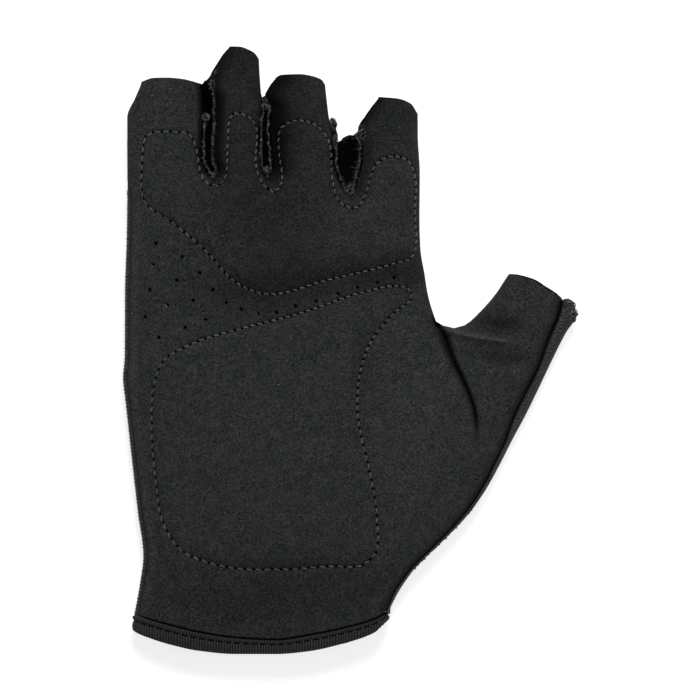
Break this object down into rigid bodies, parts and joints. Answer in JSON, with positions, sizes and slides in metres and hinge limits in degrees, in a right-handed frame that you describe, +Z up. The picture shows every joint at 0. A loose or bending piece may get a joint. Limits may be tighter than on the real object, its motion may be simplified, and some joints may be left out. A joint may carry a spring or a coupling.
{
  "type": "fitness glove",
  "caption": "Right-hand half-finger sport glove lying palm up, with padded palm, pierced holes, finger gap strips and a wrist tape.",
  "frame": {"origin": "centre of the glove's outline, on the surface that it lies on", "axes": "+X towards the thumb side, +Y from the wrist to the fingertips, +Z up out of the palm"},
  "size_m": [0.1343, 0.1794, 0.0173],
  "materials": {
    "suede": "matte napped",
    "knit": "matte knit",
    "overlock": "matte thread",
    "tape": "ribbed elastic"
  },
  "bodies": {
    "root": {"palm_panel": "suede", "back_panel": "knit", "fourchette_little_ring": "knit", "fourchette_ring_middle": "knit", "fourchette_middle_index": "knit", "seam_edge_little_ring": "overlock", "seam_edge_ring_middle": "overlock", "seam_edge_middle_index": "overlock", "seam_edge_thumb": "overlock", "seam_edge_side": "overlock", "wrist_binding": "tape"}
  },
  "joints": []
}
